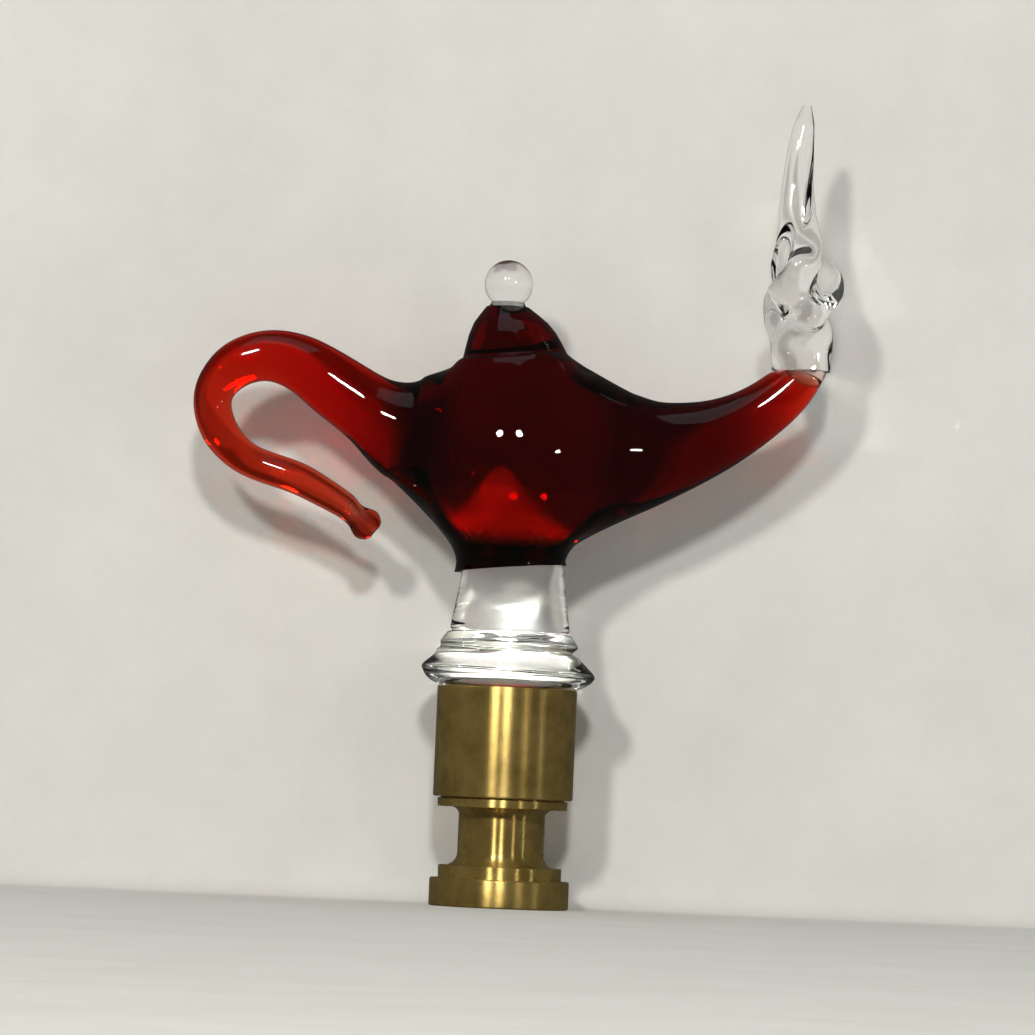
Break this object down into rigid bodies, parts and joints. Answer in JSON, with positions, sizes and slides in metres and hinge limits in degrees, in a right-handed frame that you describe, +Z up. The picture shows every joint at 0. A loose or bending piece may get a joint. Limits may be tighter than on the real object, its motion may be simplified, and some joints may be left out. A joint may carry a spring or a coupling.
{
  "type": "lamp shade finial",
  "caption": "Glass oil-lamp-shaped finial on a turned brass base that screws on top of a lampshade harp.",
  "frame": {"origin": "middle of the brass foot's underside, which is the seat on the harp", "axes": "+Z up along the brass base; the handle towards -X, the spout towards +X; the picture looks along +Y"},
  "size_m": [0.0586, 0.0158, 0.0743],
  "materials": {
    "aged_brass": "turned, aged and unlacquered",
    "clear_glass": "fire polished",
    "ruby_glass": "fire polished"
  },
  "bodies": {
    "root": {"brass_base": "aged_brass", "glass_foot": "clear_glass", "lamp_body": "ruby_glass", "lid_knob": "clear_glass", "spout_flame": "clear_glass"}
  },
  "joints": []
}
